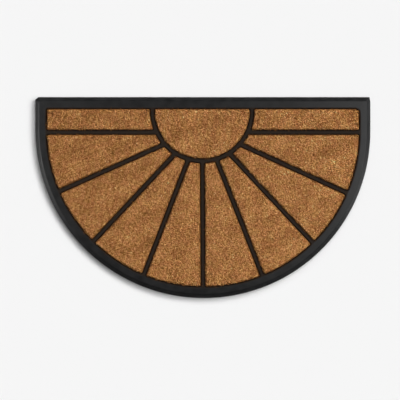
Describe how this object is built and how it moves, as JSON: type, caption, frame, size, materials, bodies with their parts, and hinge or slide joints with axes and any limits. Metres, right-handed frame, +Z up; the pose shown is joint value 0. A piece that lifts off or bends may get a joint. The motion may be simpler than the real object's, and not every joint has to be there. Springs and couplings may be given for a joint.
{
  "type": "half-round coir and rubber doormat",
  "caption": "Flat half-round doormat: coir pile panels in a sunburst, set in a black moulded rubber tray with a raised ring, ribs and a sloping edge.",
  "frame": {"origin": "on the ground under the middle of the mat's box: halfway along the straight back edge, and halfway between that edge and the foot of the curve", "axes": "+X to the right along the straight edge, +Y from the curved front edge to the straight back edge, +Z up out of the pile"},
  "size_m": [0.75, 0.45, 0.0126],
  "materials": {
    "rubber": "moulded black rubber, low sheen",
    "coir": "cut coir pile, matt, golden brown"
  },
  "bodies": {
    "root": {"rubber_tray": "rubber", "coir_sun": "coir", "coir_strip_left": "coir", "coir_ray_1": "coir", "coir_ray_2": "coir", "coir_ray_3": "coir", "coir_ray_4": "coir", "coir_ray_5": "coir", "coir_ray_6": "coir", "coir_ray_7": "coir", "coir_ray_8": "coir", "coir_strip_right": "coir"}
  },
  "joints": []
}
